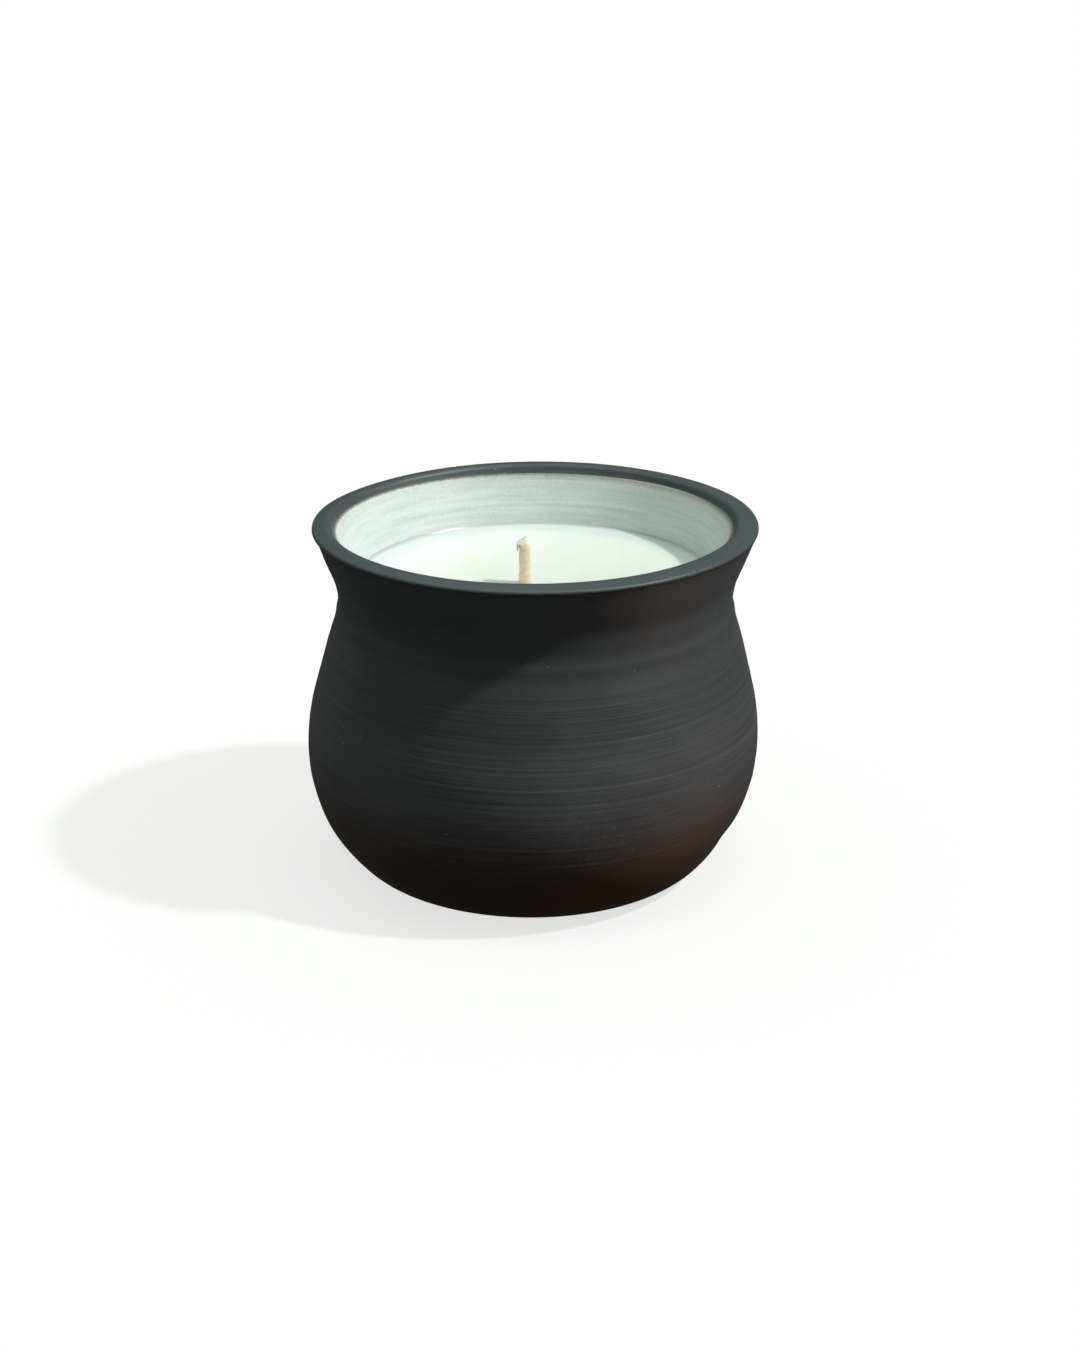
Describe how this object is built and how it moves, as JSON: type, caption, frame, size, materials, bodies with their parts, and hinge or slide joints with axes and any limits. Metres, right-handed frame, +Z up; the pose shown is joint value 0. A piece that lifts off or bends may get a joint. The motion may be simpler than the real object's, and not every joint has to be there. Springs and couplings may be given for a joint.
{
  "type": "candle jar",
  "caption": "Round-bellied stoneware candle jar with a waist and flared rim, glazed inside and filled with wax round a short trimmed wick.",
  "frame": {"origin": "centre of the foot ring, on the surface that the jar stands on", "axes": "+Z up along the jar's turning axis; -Y faces the viewer, with the wick leaning slightly to -X"},
  "size_m": [0.0876, 0.0876, 0.069],
  "materials": {
    "stoneware": "matte black, with fine throwing lines",
    "white_glaze": "chalky white satin glaze",
    "wax": "smooth, soft-sheened ivory plant wax",
    "cotton": "waxed braided cotton",
    "tinplate": "bright tinplate",
    "foam": "white closed-cell foam with adhesive faces"
  },
  "bodies": {
    "root": {"jar_body": "stoneware", "interior_glaze": "white_glaze", "wax_fill": "wax", "wick": "cotton", "wick_sustainer": "tinplate", "wick_sticker": "foam"}
  },
  "joints": []
}
